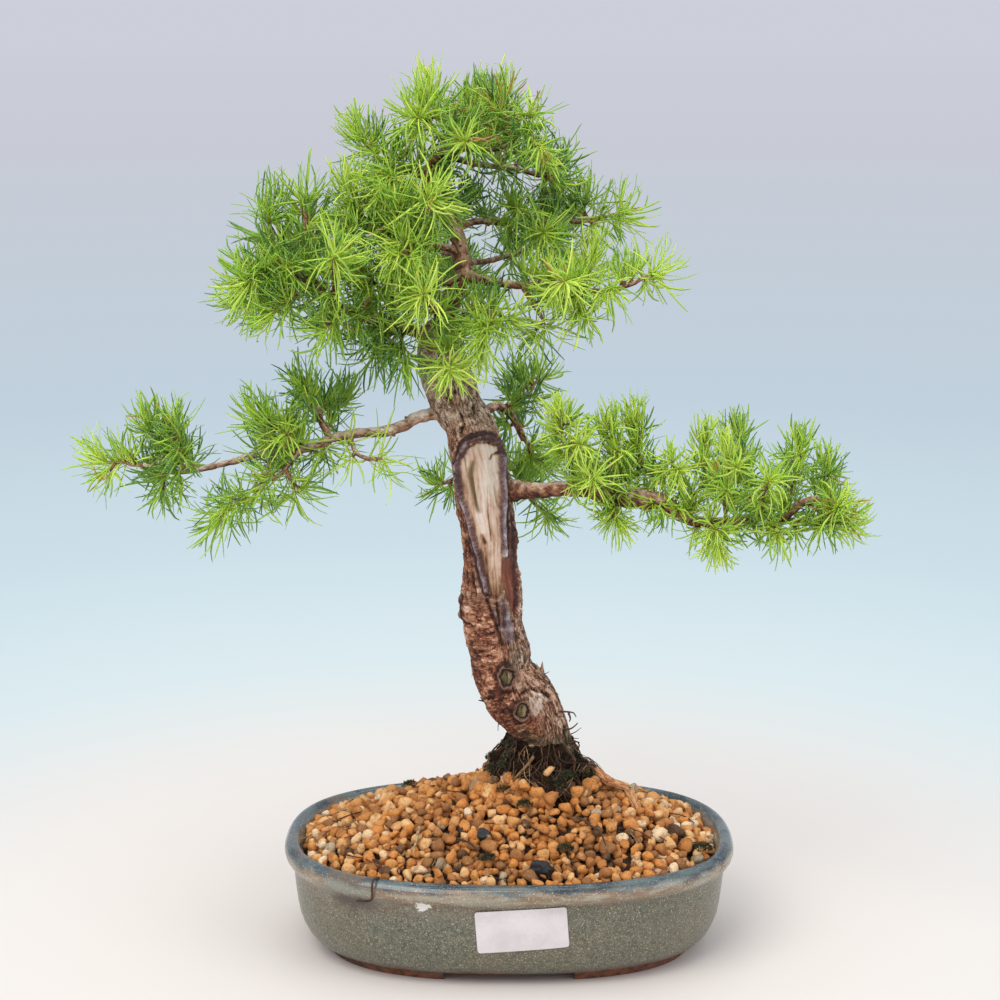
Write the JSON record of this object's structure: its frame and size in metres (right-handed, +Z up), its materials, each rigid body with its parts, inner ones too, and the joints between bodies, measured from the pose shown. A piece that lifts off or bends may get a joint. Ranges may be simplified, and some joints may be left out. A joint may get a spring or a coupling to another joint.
{
  "type": "european larch bonsai in an oval pot",
  "caption": "Leaning larch bonsai with bare deadwood on its trunk and tufts of green needles, planted on heaped clay grains in an oval glazed pot on a low foot ring.",
  "frame": {"origin": "middle of the whole plant's footprint box, on the surface that the pot stands on", "axes": "+X to the right as seen from the tree's front, +Y away from the viewer at the front, +Z up"},
  "size_m": [0.4716, 0.2178, 0.5253],
  "materials": {
    "glaze": "satin speckled grey-green glaze with a slate blue rim, bare red-brown feet",
    "label_paper": "matt white",
    "baked_clay": "rough orange-brown clay grains with some cream, grey and black ones",
    "peat": "dark fibrous peat, moss and fine roots",
    "net": "matt black",
    "bark": "flaking red-brown and grey bark with a bleached bare panel",
    "needles": "satin fresh green needles, yellower at the shoot tips"
  },
  "bodies": {
    "root": {"pot": "glaze", "pot_label": "label_paper", "soil": "baked_clay", "root_mound": "peat", "drain_net_left": "net", "drain_net_right": "net", "tree_wood": "bark", "centre_left": "needles", "crown_back": "needles", "crown_end": "needles", "crown_low": "needles", "crown_mid": "needles", "crown_right": "needles", "crown_tip": "needles", "front_drop": "needles", "front_left": "needles", "front_right": "needles", "front_star": "needles", "leader_front": "needles", "leader_side": "needles", "left_back": "needles", "left_drop": "needles", "left_front": "needles", "left_high": "needles", "left_low": "needles", "left_tip": "needles", "low_left_bright": "needles", "low_left_hang": "needles", "low_left_inner": "needles", "low_left_outer": "needles", "low_left_rise": "needles", "low_left_shoot": "needles", "low_left_tip": "needles", "low_right_back": "needles", "low_right_bright": "needles", "low_right_front": "needles", "low_right_high": "needles", "low_right_mid": "needles", "low_right_outer": "needles", "low_right_rise": "needles", "low_right_stars": "needles", "low_right_stub": "needles", "low_right_tip": "needles", "mid_left_front": "needles", "mid_left_tip": "needles", "mid_left_top": "needles", "mid_right_drop": "needles", "mid_right_star": "needles", "mid_right_tip": "needles", "rear_branch_left": "needles", "rear_branch_right": "needles", "rear_left": "needles", "rear_limb_end": "needles", "rear_limb_up": "needles", "rear_mid": "needles", "rear_right": "needles", "upper_left_front": "needles", "upper_left_tip": "needles", "upper_right_inner": "needles", "upper_right_tip": "needles"}
  },
  "joints": []
}
